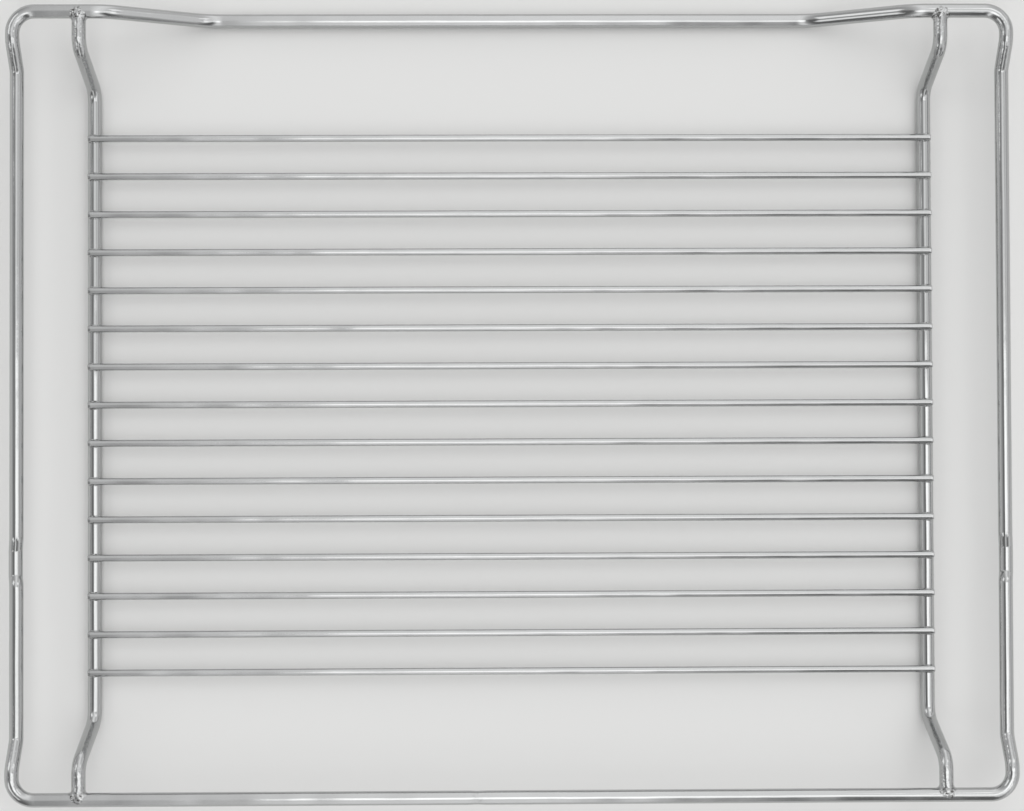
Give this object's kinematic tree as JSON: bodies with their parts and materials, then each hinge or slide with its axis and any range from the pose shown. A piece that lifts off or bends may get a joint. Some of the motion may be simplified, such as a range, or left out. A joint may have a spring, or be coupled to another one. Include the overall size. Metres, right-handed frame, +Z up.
{
  "type": "oven grill grate",
  "caption": "Chrome-plated wire oven grate: bent outer frame with a dipped front rail, two dropped support bars and a row of welded cross wires.",
  "frame": {"origin": "under the middle of the grate, on the surface that it rests on", "axes": "+Z up; +X to the right, along the cross wires; +Y towards the front rail, the one with the dip, with the plain rear rail at -Y"},
  "size_m": [0.4652, 0.368, 0.0314],
  "materials": {
    "chrome_wire": "bright chrome plating on drawn steel wire, with slight drawing marks"
  },
  "bodies": {
    "root": {"outer_frame": "chrome_wire", "left_bar": "chrome_wire", "right_bar": "chrome_wire", "cross_wire_01": "chrome_wire", "cross_wire_02": "chrome_wire", "cross_wire_03": "chrome_wire", "cross_wire_04": "chrome_wire", "cross_wire_05": "chrome_wire", "cross_wire_06": "chrome_wire", "cross_wire_07": "chrome_wire", "cross_wire_08": "chrome_wire", "cross_wire_09": "chrome_wire", "cross_wire_10": "chrome_wire", "cross_wire_11": "chrome_wire", "cross_wire_12": "chrome_wire", "cross_wire_13": "chrome_wire", "cross_wire_14": "chrome_wire", "cross_wire_15": "chrome_wire"}
  },
  "joints": []
}
